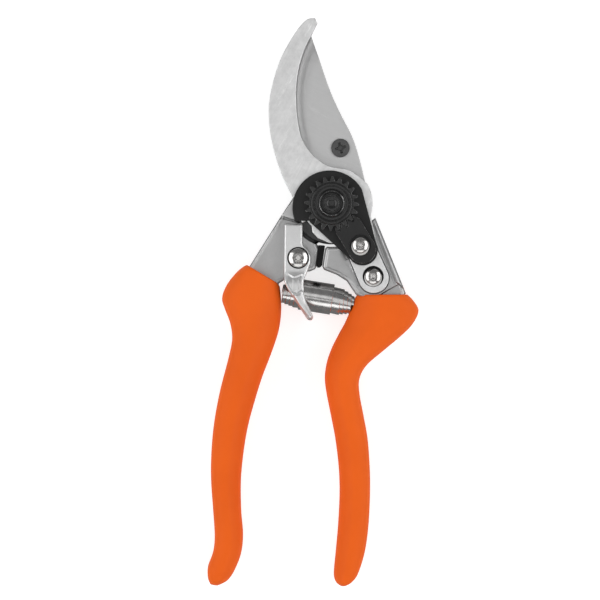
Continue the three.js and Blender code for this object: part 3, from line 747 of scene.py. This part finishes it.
# Each pair is the outer and inner side of a handle, from its top to its end.
LEFT_RAILS = [
    ((-32.3, -22.8), (-19.7, -30.3)), ((-36.0, -25.8), (-19.3, -33.4)), ((-39.8, -30.7), (-19.0, -38.4)),
    ((-41.5, -35.6), (-19.2, -43.0)), ((-40.4, -39.8), (-20.0, -48.0)), ((-38.4, -45.2), (-21.6, -53.2)),
    ((-37.7, -51.2), (-23.8, -59.2)), ((-39.1, -58.4), (-26.4, -66.0)), ((-42.2, -70.4), (-29.0, -74.4)),
    ((-44.4, -82.0), (-31.6, -84.0)), ((-45.5, -93.0), (-33.3, -94.0)), ((-45.7, -104.0), (-34.3, -104.6)),
    ((-44.9, -116.0), (-34.2, -116.0)), ((-44.3, -125.6), (-33.5, -125.0)),
    ((-44.9, -131.8), (-34.2, -132.2)), ((-46.8, -137.2), (-36.6, -138.6)),
    ((-46.9, -141.4), (-39.3, -142.6)), ((-46.0, -144.0), (-43.0, -144.6)),
]
RIGHT_RAILS = [
    ((29.2, -34.2), (9.4, -34.3)), ((32.6, -38.6), (8.0, -38.0)), ((32.9, -41.6), (6.7, -41.4)),
    ((30.5, -45.9), (5.0, -45.2)), ((26.4, -50.0), (2.8, -49.2)), ((19.5, -55.8), (0.2, -54.4)),
    ((13.4, -61.1), (-1.7, -59.8)), ((10.7, -66.2), (-2.5, -65.6)), ((10.7, -71.8), (-1.9, -71.4)),
    ((12.2, -80.0), (-0.2, -80.0)), ((13.8, -89.0), (1.5, -89.0)), ((14.6, -100.0), (2.8, -100.0)),
    ((14.7, -110.0), (3.1, -110.0)), ((14.1, -122.0), (2.5, -122.0)), ((12.7, -132.0), (1.6, -132.0)),
    ((10.2, -140.0), (0.9, -140.0)), ((7.9, -143.2), (1.7, -143.2)), ((5.4, -144.7), (3.5, -144.7)),
]

# A grip's section from its outer side (0) to its inner side (1), and its height there. The face is broad
# and nearly flat, then falls away towards the other handle.
SECTION = [
    (0.0, 0.0), (0.012, 0.34), (0.06, 0.66), (0.16, 0.88), (0.34, 0.985), (0.52, 1.0), (0.64, 0.955),
    (0.80, 0.80), (0.93, 0.56), (0.985, 0.30), (1.0, 0.0),
]
# The dipped lip: how far in from the outline, and how far down from the top, each of its rings lies. It
# turns over and then goes down against the casting, out of sight.
LIP = [(1.5, 9.0), (1.5, 0.8), (1.2, 0.12), (0.7, 0.0), (0.28, 0.08), (0.0, 0.4)]
# How much thinner a grip gets along its length, and how its end rounds off.
GRIP_THINNING = 0.18
TAIL_START = 0.9
TAIL_SHARE = 0.1
TAIL_FALL = 0.8
TAIL_POWER = 2.2
TAIL_LEAST = 0.05


def grip_section():
    half = smooth(SECTION, 26)
    return half[:-1] + [(u, -v) for u, v in half[::-1]][:-1]


def grip_rings(rails, count=90):
    """Evenly spread rings: outer point, inner point and half thickness."""
    outer = smooth([a for a, _ in rails], count)
    inner = smooth([b for _, b in rails], count)
    full = (GRIP_TOP - GRIP_LOW) / 2
    rings = []
    for i, (a, b) in enumerate(zip(outer, inner)):
        t = i / count
        tail = max(0.0, (t - TAIL_START) / TAIL_SHARE)
        end = math.sqrt(max(1 - TAIL_FALL * tail**TAIL_POWER, TAIL_LEAST))
        half = full * (1 - GRIP_THINNING * t) * end
        rings.append((np.array(a), np.array(b), half))
    return rings


def make_grip(name, node, rails):
    rings = grip_rings(rails)
    a, b, half = rings[0]
    along = rings[1][0] + rings[1][1] - a - b
    along = along / np.linalg.norm(along)
    side = (b - a) / np.linalg.norm(b - a)
    lip = [(a + side * s + along * d, b - side * s + along * d, half - s) for s, d in LIP]
    section = grip_section()
    loops = []
    for a, b, half in lip + rings[2:]:
        loops.append([(*(a + (b - a) * u), GRIP_MID + half * v) for u, v in section])
    stand_for(node, ORANGE, build(name, loft(loops), sharp=60))


# ------------------------ handle castings

CASTING_EDGE = [
    (0.0, 1.05), (0.1, 0.68), (0.32, 0.34), (0.62, 0.12), (1.0, 0.0), (1.15, 0.02), (1.4, 0.2), (1.7, 0.22),
]
CASTING_BACK = [(0.0, 0.9), (0.3, 0.5), (0.8, 0.1), (1.1, 0.0)]
BLADE_SCREW_EAR_R = 5.6


def make_blade_casting():
    outline = [
        *arc(BLADE_SCREW_AT, BLADE_SCREW_EAR_R, -5, 185, 30), polar(BOSS_R, 150),
        (-14.6, 2.5), (-19.6, -5.2), (-30.9, -23.2),
        (-33.9, -28.0), (-22.6, -36.0), (-20.7, -31.5), (-19.8, -29.9), (-18.2, -28.9), (-16.0, -27.2),
        (-12.6, -25.9), (-8.1, -25.4), (-6.2, -24.6), (-5.3, -23.1), (-4.9, -20.4), (-4.35, -16.8),
        (-5.1, -15.6), (-5.6, -15.0), *arc((0, 0), BOSS_R, 252, 395, 60),
    ]
    arm = [
        (-19.6, -5.2), (-34, -28.5), (-22.6, -38.0), (-18, -28.5), (-8.1, -26.4), (-3.9, -25.4),
        (-3.9, -16.6),
        *arc((0, 0), 16.1, 252, 222, 10), *arc((0, 0), 15.2, 219, 211, 3), (-12.3, -7.0),
    ]
    casting = plate(
        outline, CORE_LOW, BOSS_TOP,
        holes=[circle((0, 0), BUSH_HOLE_R), circle(LATCH_SCREW_AT, SCREW_R, 32)],
        steps=[Step(arm, ARM_TOP - BOSS_TOP, 0.3)],
        edge=CASTING_EDGE, back_edge=CASTING_BACK, grid=1.5,
    )
    stand_for("blade_handle_core", CAST, build("blade_handle_forging", casting))


ARM_FACE = 14.3
# The raised rim along the outer side: its crest line, and its height at a distance outwards from it.
CREST = [(16.3, -6.4), (25.3, -29.7)]
CREST_SHAPE = [
    (-1.9, 0.0), (-1.6, -0.28), (-1.25, -0.25), (-0.6, 0.5), (-0.3, 0.7), (0.35, 0.42), (0.5, 0.4),
    (0.65, 0.25), (1.7, -0.3),
]
# The chamfer down to the tang's pocket: its line, its depth, its level strip and its width.
TANG_SIDE = [(4.0, -15.0), (10.2, -30.0)]
CHAMFER_DEPTH = 0.45
CHAMFER_LEVEL = 0.2
CHAMFER_WIDTH = 1.3
POCKET_SPREAD = 0.4
SHELF_DROP = 1.1
NECK_DROP = 2.4


def beside(line, points):
    """Signed distance from a straight line, positive to its left when going from its first point."""
    a, b = np.array(line[0]), np.array(line[1])
    along = (b - a) / np.linalg.norm(b - a)
    away = points - a
    return away[:, 1] * along[0] - away[:, 0] * along[1]


def shifted(line, distance):
    """The straight line moved sideways, as beside measures it."""
    a, b = np.array(line[0]), np.array(line[1])
    along = (b - a) / np.linalg.norm(b - a)
    move = np.array((-along[1], along[0])) * distance
    return [tuple(a + move), tuple(b + move)]


def rim_relief(points):
    """The crest with the groove at its foot, and the chamfer that leads down to the tang's pocket."""
    side = beside(CREST, points)
    lower_end = np.clip((points[:, 1] - (CREST[1][1] - 0.6)) / 0.7, 0, 1)
    rim = np.interp(side, *zip(*CREST_SHAPE)) * lower_end
    near = distance_to(points, TANG_SIDE)
    left = np.clip(-beside(TANG_SIDE, points) / 0.1, 0, 1)
    return rim - CHAMFER_DEPTH * np.clip(1 - (near - CHAMFER_LEVEL) / CHAMFER_WIDTH, 0, 1) * left


def make_hook_casting():
    outline = [
        (-2.3, -16.8), (-3.4, -23.5), (-2.8, -24.8), (2.1, -26.7), (5.9, -29.1), (8.1, -32.4), (9.4, -34.3),
        (12.0, -35.6), (12.4, -40.0), (29.4, -40.0), (27.7, -34.2), (28.2, -33.9), (16.6, -5.3), (15.1, -6.3),
        *arc((0, 0), 16.2, -24, -96, 30),
    ]
    tang = tang_outline(POCKET_SPREAD)
    pocket = [*tang[1:], (15.6, -10.0), (13.0, 2.0), (0.0, -12.0), tang[0]]
    shelf = [(25.6, -30.0), (21.5, -32.2), (17.3, -34.7), (8.0, -34.7), (8, -44), (40, -44), (29.5, -33.8)]
    neck = [(6, -34.9), (34, -34.9), (34, -44), (6, -44)]
    casting = plate(
        outline, CORE_LOW, ARM_FACE,
        holes=[circle(HOOK_SCREW_AT, SCREW_R, 32)],
        steps=[
            Step(pocket, ARM_TOP - ARM_FACE, 0.2),
            Step(shelf, -SHELF_DROP, 0.5), Step(neck, -NECK_DROP, 0.3),
        ],
        creases=[shifted(CREST, side) for side, _ in CREST_SHAPE[:-1]] + [shifted(TANG_SIDE, -1.4)],
        relief=rim_relief, edge=CASTING_EDGE, back_edge=CASTING_BACK, grid=1.4,
    )
    stand_for("hook_handle_core", CAST, build("hook_handle_forging", casting))


# ------------------------ pivot hardware

PLATE_HEAD = (-0.76, -1.5)
PLATE_HEAD_R = 14.0
PLATE_END = (11.7, -17.6)
PLATE_END_R = 5.7


def make_cover_plate():
    outline = [
        *arc(PLATE_HEAD, PLATE_HEAD_R, 29, 198, 90), (-14.0, -6.45), (-8.4, -6.45), (-8.1, -7.0),
        (6.9, -20.9), *arc(PLATE_END, PLATE_END_R, 214, 372, 40),
    ]
    cover = plate(outline, PLATE_LOW, PLATE_TOP, holes=[circle((0, 0), BOLT_R + 0.1)], edge=round_edge(0.3))
    stand_for("cover_plate", BLACK, build("cover_plate_blacked", cover))


TEETH = 20
TOOTH_AT = -56
TOOTH_TIP_R = 10.25
TOOTH_ROOT_R = 8.35
TOOTH_DISC = 2.1
# The rack's teeth reach in to the tip radius, and its gaps clear the nut's teeth at the gap radius.
RACK_TIP_R = 8.75
RACK_GAP_R = 10.7
SEGMENT_END = (11.5, -17.3)
SEGMENT_END_R = 5.2

# The nut's hub in section: the tooth disc's inner part, a dished face, and a raised ring round the bolt.
HUB = [
    (8.05, 1.9), (8.0, 2.3), (7.8, 2.75), (7.5, 2.95), (7.1, 2.95), (6.4, 2.7), (5.7, 2.6), (5.25, 2.75),
    (5.2, 3.2), (5.1, 3.55), (4.9, 3.8), (4.6, 4.0), (4.35, 4.05), (4.1, 3.9), (3.95, 3.6), (3.8, 3.45),
    (3.6, 3.45), (3.45, 3.3), (3.4, 2.0), (3.4, 1.9),
]
HUB_CREST = (11,)


def toothed(numbers, half):
    """Points at the nut's teeth of these numbers; half holds (radius, share of the pitch) to the middle."""
    pitch = 360 / TEETH
    shape = [(r, -share) for r, share in half] + half[::-1]
    return [polar(r, TOOTH_AT + i * pitch + share * pitch) for i in numbers for r, share in shape]


def make_nut():
    tip, root = TOOTH_TIP_R, TOOTH_ROOT_R
    ring = toothed(range(TEETH), [(root, 0.40), (root + 0.25, 0.34), (tip - 0.2, 0.13), (tip, 0.07)])
    disc = plate(
        ring, NUT_LOW, NUT_LOW + TOOTH_DISC, holes=[circle((0, 0), BOLT_R)],
        edge=round_edge(0.22), grid=1.2, fine=0.45,
    )
    hub = turned_ring([(r, NUT_LOW + z) for r, z in HUB], sides=96, polished=HUB_CREST)
    stand_for("toothed_nut", BLACK_WORN, build("toothed_nut_blacked", disc, hub))


BOLT_HEAD = 2.4
BOLT_HEAD_R = 8.5
BOLT_SHANK_R = 4.0
SQUARE_END = 2.2
BOLT_WASHER_RADII = (4.2, 8.0)
BUSH_RADII = (4.1, 5.2)


def make_bolt():
    """The bolt: a flat head at the back, and its squared end inside the nut at the front."""
    head_top = BOLT_LOW + BOLT_HEAD
    neck_top = BOLT_TOP - SQUARE_END
    shank = turned([
        (0, BOLT_LOW), (7.4, BOLT_LOW), (8.1, BOLT_LOW + 0.2), (BOLT_HEAD_R, BOLT_LOW + 0.7),
        (BOLT_HEAD_R, head_top - 0.3), (8.3, head_top), (BOLT_SHANK_R, head_top), (BOLT_SHANK_R, neck_top),
        (0, neck_top),
    ])
    corner = 2.75
    square = rounded([(-corner, -corner), (corner, -corner), (corner, corner), (-corner, corner)], 2.3, 10)
    end = plate(
        square, neck_top - 0.1, BOLT_TOP - 0.6,
        steps=[Step(circle((0, 0), 1.9, 32), -0.3, 0.5)], edge=round_edge(0.4), grid=0.9, fine=0.35,
    )
    stand_for("pivot_bolt", BLACK_WORN, build("pivot_bolt_blacked", shank, end))


def make_washers():
    washer = turned_ring(ring_profile(*BOLT_WASHER_RADII, *span("bolt_washer")))
    bush = turned_ring(ring_profile(*BUSH_RADII, *span("pivot_bush")))
    stand_for("bolt_washer", BRIGHT, build("bolt_washer_turned", washer))
    for node in ("locking_screw_washer", "hook_screw_washer"):
        section = ring_profile(SMALL_WASHER_HOLE_R, SMALL_WASHER_R, *span(node), 0.1)
        small = turned_ring(section, centre(node))
        stand_for(node, BRIGHT, build(node + "_stamped", small))
    stand_for("pivot_bush", BUSH_STEEL, build("pivot_bush_turned", bush))


def make_segment():
    """The bar whose rack of teeth fills the gaps of the nut."""
    rack = toothed(range(-1, 2), [(RACK_TIP_R, 0.45), (RACK_GAP_R, 0.12)])
    outline = [
        (1.7, -11.2), *rack, (10.5, -5.7), (15.7, -14.3),
        *arc(SEGMENT_END, SEGMENT_END_R, 32, -146, 40),
    ]
    segment = plate(
        outline, SEGMENT_LOW, SEGMENT_TOP,
        steps=[Step(circle(LOCK_SCREW_AT, SCREW_RECESS_R), -SEGMENT_RECESS, 0.12)],
        edge=round_edge(0.25), grid=1.1, fine=0.45,
    )
    stand_for("locking_segment", BLACK_RUBBED, build("locking_segment_blacked", segment))


# ------------------------ fasteners

SHANK_R = 1.9
SHANK_TIP_R = 1.6
BACK_NUT_R = 3.9
BACK_NUT_HOLE_R = 2.05


def cross_slot(middle, reach, width, turn):
    """The outline of a cross recess."""
    corners = []
    for quarter in range(4):
        for along, across in ((width, -width), (reach, -0.8 * width), (reach, 0.8 * width)):
            angle = math.degrees(math.atan2(across, along)) + 90 * quarter + turn
            corners.append(polar(math.hypot(along, across), angle, middle))
    return corners


def make_screw(name, node, radius, low, high, turn, dome, material=None):
    """A domed head with a cross recess, and its shank. turn is where the cross points, in degrees."""
    middle = centre(node)
    recess = [
        Step(cross_slot(middle, radius * 0.6, radius * 0.17, turn), -0.9, 0.2),
        Step(cross_slot(middle, radius * 0.34, radius * 0.2, turn + 45), -0.35, 0.2),
    ]

    def domed(points):
        away = np.hypot(points[:, 0] - middle[0], points[:, 1] - middle[1]) / radius
        return -dome * away**2.4

    head = plate(circle(middle, radius, 72), low, high, steps=recess, relief=domed,
                 edge=round_edge(0.3), grid=0.55, fine=0.28)
    tip = span(node)[0]
    top = low + 0.05
    shank = [(0, tip), (SHANK_TIP_R, tip), (SHANK_R, tip + 0.3), (SHANK_R, top), (0, top)]
    shank = turned(shank, middle, 32)
    stand_for(node, material or BRIGHT, build(name, head, shank))


def make_screws():
    make_screw("locking_screw_panhead", "locking_screw", 3.0, SEGMENT_TOP - 0.5, SEGMENT_TOP + 1.9, 8, 0.75)
    make_screw("hook_screw_panhead", "hook_screw", 3.0, HOOK_TOP - 0.7, HOOK_TOP + 1.2, 45, 0.75)
    make_screw("latch_screw_panhead", "latch_screw", 3.7, LATCH_TOP - 1.0, LATCH_TOP + 1.5, 2, 0.95)
    make_screw("blade_screw_panhead", "blade_screw", 3.5, BLADE_TOP + 0.1, BLADE_TOP + 1.2, 15, 0.15,
               BLACK_ZINC)


def make_back_nut(node):
    middle = centre(node)
    low, high = span(node)
    hexagon = rounded([polar(BACK_NUT_R, 60 * i, middle) for i in range(6)], 0.35, 4)
    nut = plate(hexagon, low, high, holes=[circle(middle, BACK_NUT_HOLE_R, 32)],
                edge=round_edge(0.2), back_edge=[(0.0, 0.5), (0.5, 0.0)], grid=0.8, fine=0.4)
    stand_for(node, BRIGHT, build(node + "_hexagon", nut))


# ------------------------ latch, stop and spring

LATCH_PLAN = [
    (-17.9, -7.4), (-10.9, -7.4), (-10.9, -15.4), (-8.9, -17.4), (-7.8, -19.6), (-7.8, -22.2), (-8.9, -25.2),
    (-10.1, -27.8), (-10.7, -30.0), (-10.5, -34.0), (-9.4, -37.4), (-6.9, -42.4), (-7.0, -43.5),
    (-8.0, -44.1), (-9.1, -43.7), (-12.9, -37.9), (-16.9, -31.7), (-18.0, -29.0), (-18.1, -25.0),
]
LEVER_SCOOP = [
    (-17.3, -25.6), (-14.2, -27.5), (-10.7, -26.2), (-10.4, -33.2), (-11.8, -33.2), (-13.2, -34.2),
    (-15.1, -33.6), (-17.5, -29.6),
]
LEVER_FACET = [(-14.9, -28.2), (-12.3, -27.8), (-12.0, -32.6), (-13.2, -33.8), (-14.8, -32.7)]
THUMB_BAR = [
    (-15.1, -33.8), (-13.2, -34.3), (-11.6, -33.4), (-10.0, -37.6), (-7.3, -42.6), (-7.6, -43.6),
    (-8.5, -43.6), (-12.4, -38.4),
]


# The lever starts to climb at this Y, climbs over this length, and has this much air behind it.
LEVER_FOOT_Y = -25.0
LEVER_RUN = 5.5
LEVER_AIR = 2.5
THUMB_BAR_HEIGHT = 0.55


def lever_rise(points):
    """How far the thumb lever has climbed over the spring: 0 on the flat, 1 on the lever."""
    t = np.clip((LEVER_FOOT_Y - points[:, 1]) / LEVER_RUN, 0, 1)
    return t * t * (3 - 2 * t)


def latch_front(points):
    return (LEVER_TOP - THUMB_BAR_HEIGHT - LATCH_TOP) * lever_rise(points)


def latch_back(points):
    return LEVER_AIR * lever_rise(points)


def make_latch():
    latch = plate(
        rounded(LATCH_PLAN, 0.9, 6), LATCH_LOW, LATCH_TOP,
        steps=[
            # The recess round the latch screw's head is painted with shade.
            Step(circle(LATCH_SCREW_AT, LATCH_RECESS_R), -LATCH_RECESS, 0.1, painted_shade=True),
            Step(LEVER_SCOOP, -0.6, 0.7, 0.4),
            Step(LEVER_FACET, 0.5, 0.6, 0.4), Step(THUMB_BAR, THUMB_BAR_HEIGHT, 0.75, 0.3),
        ],
        relief=latch_front, under=latch_back,
        edge=[(0.0, 0.6), (0.12, 0.4), (0.45, 0.12), (0.7, 0.0)], grid=0.8, fine=0.4,
    )
    stand_for("thumb_latch", LATCH_CAST, build("thumb_latch_cast", latch))


def make_bumper():
    outline = rounded(
        [(-5.0, -15.5), (-2.4, -15.7), (-3.5, -23.3), (-4.4, -24.0), (-5.5, -24.0), (-5.1, -20.4)], 0.4, 4
    )
    bumper = plate(outline, *span("stop_bumper"), edge=round_edge(0.3), grid=0.8, fine=0.4)
    stand_for("stop_bumper", RUBBER, build("stop_bumper_moulded", bumper))


SPRING_LEFT = np.array((-19.1, -33.7, 8.4))
SPRING_RIGHT = np.array((8.7, -38.4, 8.4))
SPRING_BOW = 1.0
BARREL_R = 5.85
STRIP = 0.5
BARREL = (7.2, 19.6)


def spring_point(s, turn, radius):
    """A point at a distance along the bowed axis, at a turn round it and a radius from it."""
    run = SPRING_RIGHT - SPRING_LEFT
    length = np.linalg.norm(run)
    along = run / length
    up = np.array((0.0, 0.0, 1.0))
    across = np.cross(up, along)
    t = s / length
    out = math.cos(2 * math.pi * turn) * across + math.sin(2 * math.pi * turn) * up
    return SPRING_LEFT + along * s + across * SPRING_BOW * 4 * t * (1 - t) + out * radius


def wound_strip(turns, start, end, first_radius, shrink, per_turn=64):
    """A strip wound round the axis. start and end give where its two edges are after each whole turn."""
    soft = 0.12
    rings = []
    for i in range(int(turns * per_turn) + 1):
        turn = i / per_turn
        s0 = np.interp(turn, range(len(start)), start)
        s1 = np.interp(turn, range(len(end)), end)
        r = first_radius - shrink * turn
        section = [
            (r - STRIP, s0), (r - soft, s0), (r, s0 + soft), (r, s1 - soft), (r - soft, s1), (r - STRIP, s1),
        ]
        rings.append([spring_point(s, turn + 0.25, radius) for radius, s in section])
    return loft(rings)


def make_spring():
    """A strip wound into a barrel, whose inner turns step out at both ends."""
    low, high = BARREL
    inner = BARREL_R - STRIP - 0.05
    width = 6.5
    right = [high + d for d in (3.0, 4.4, 5.9, 7.3, 8.4)]
    left = [low - d for d in (1.7, 3.3, 4.9, 6.4, 7.0)]
    parts = [
        wound_strip(1.02, [low, low], [high, high], BARREL_R, 0.0),
        wound_strip(4.0, [s - width for s in right], right, inner, 0.52),
        wound_strip(4.0, left, [s + width for s in left], inner, 0.50),
    ]
    spring = build("volute_spring_wound", *parts)
    spring.data.materials.append(SPRING_STEEL)
    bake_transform(spring)
    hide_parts("volute_spring")


# ------------------------ studio

VIEW_CENTRE = (-11.9 * MM, -36.3 * MM, 12 * MM)
VIEW_WIDTH = 0.2271
CAMERA_HEIGHT = 1.1
SENSOR_WIDTH = 36

FLOOR_HALF = 2.0
FLOOR_DROP = 0.0004
FLOOR_GLOW = 0.72
FLOOR_TONES = (0.48, 0.5)
WORLD_STRENGTH = 0.22

# Each soft light's name, the side it comes from, its tilt, distance, size and radiance.
LIGHT_AIM = Vector((-0.005, -0.03, 0.01))
SOFTBOXES = [
    ("overhead", (0, 1), 0, 1.35, (0.7, 0.9), 0.78),
    ("left", (-1, 0), 50, 1.1, (1.3, 0.75), 2.3),
    ("right", (1, 0), 50, 1.1, (1.3, 0.75), 2.3),
    ("front", (0, -1), 48, 1.2, (1.0, 0.5), 1.5),
    ("back", (0, 1), 74, 1.2, (1.2, 0.3), 0.6),
]


def make_camera():
    camera = bpy.data.objects.new("camera", bpy.data.cameras.new("camera"))
    bpy.context.scene.collection.objects.link(camera)
    camera.location = (VIEW_CENTRE[0], VIEW_CENTRE[1], VIEW_CENTRE[2] + CAMERA_HEIGHT)
    camera.data.sensor_width = SENSOR_WIDTH
    camera.data.lens = SENSOR_WIDTH * CAMERA_HEIGHT / VIEW_WIDTH
    camera.data.clip_end = 10
    bpy.context.scene.camera = camera


def make_softbox(name, towards, tilt, distance, size, radiance):
    """A soft light, tilt degrees away from straight overhead and towards the given plane direction."""
    lean = math.radians(tilt)
    away = Vector((towards[0] * math.sin(lean), towards[1] * math.sin(lean), math.cos(lean)))
    data = bpy.data.lights.new(name, "AREA")
    data.shape = "RECTANGLE"
    data.size, data.size_y = size
    data.energy = radiance * math.pi * size[0] * size[1]
    lamp = bpy.data.objects.new(name, data)
    bpy.context.scene.collection.objects.link(lamp)
    lamp.location = LIGHT_AIM + away * distance
    lamp.rotation_euler = (-away).to_track_quat("-Z", "Y").to_euler()


def make_floor():
    """A pale floor that glows like a light table, and that polished metal doesn't mirror."""
    half = FLOOR_HALF
    corners = [(-half, -half, 0), (half, -half, 0), (half, half, 0), (-half, half, 0)]
    mesh = bpy.data.meshes.new("floor")
    mesh.from_pydata(corners, [], [(0, 1, 2, 3)])
    floor = bpy.data.objects.new("floor", mesh)
    floor.location.z = CAD_BOX[0].z - FLOOR_DROP
    bpy.context.scene.collection.objects.link(floor)
    n = Nodes("pale_floor")
    n.link("Base Color", n.mix(n.noise(3, 2), *map(grey, FLOOR_TONES)))
    n.set(Roughness=0.9, Specular_IOR_Level=0.0, Emission_Color=grey(1.0), Emission_Strength=FLOOR_GLOW)
    mesh.materials.append(n.material)
    floor.visible_glossy = False


def make_studio():
    make_floor()
    world = bpy.data.worlds.new("studio")
    bpy.context.scene.world = world
    world.use_nodes = True
    background = world.node_tree.nodes["Background"]
    background.inputs["Color"].default_value = (1, 1, 1, 1)
    background.inputs["Strength"].default_value = WORLD_STRENGTH
    for softbox in SOFTBOXES:
        make_softbox(*softbox)
    bpy.context.scene.view_settings.view_transform = "Standard"


make_camera()
make_hook()
make_blade()
make_grip("blade_grip_dipped", "blade_handle_grip", LEFT_RAILS)
make_grip("hook_grip_dipped", "hook_handle_grip", RIGHT_RAILS)
make_blade_casting()
make_hook_casting()
make_cover_plate()
make_nut()
make_bolt()
make_washers()
make_segment()
make_screws()
for back_nut in ("hook_screw_nut", "latch_screw_nut"):
    make_back_nut(back_nut)
make_latch()
make_bumper()
make_spring()
make_studio()
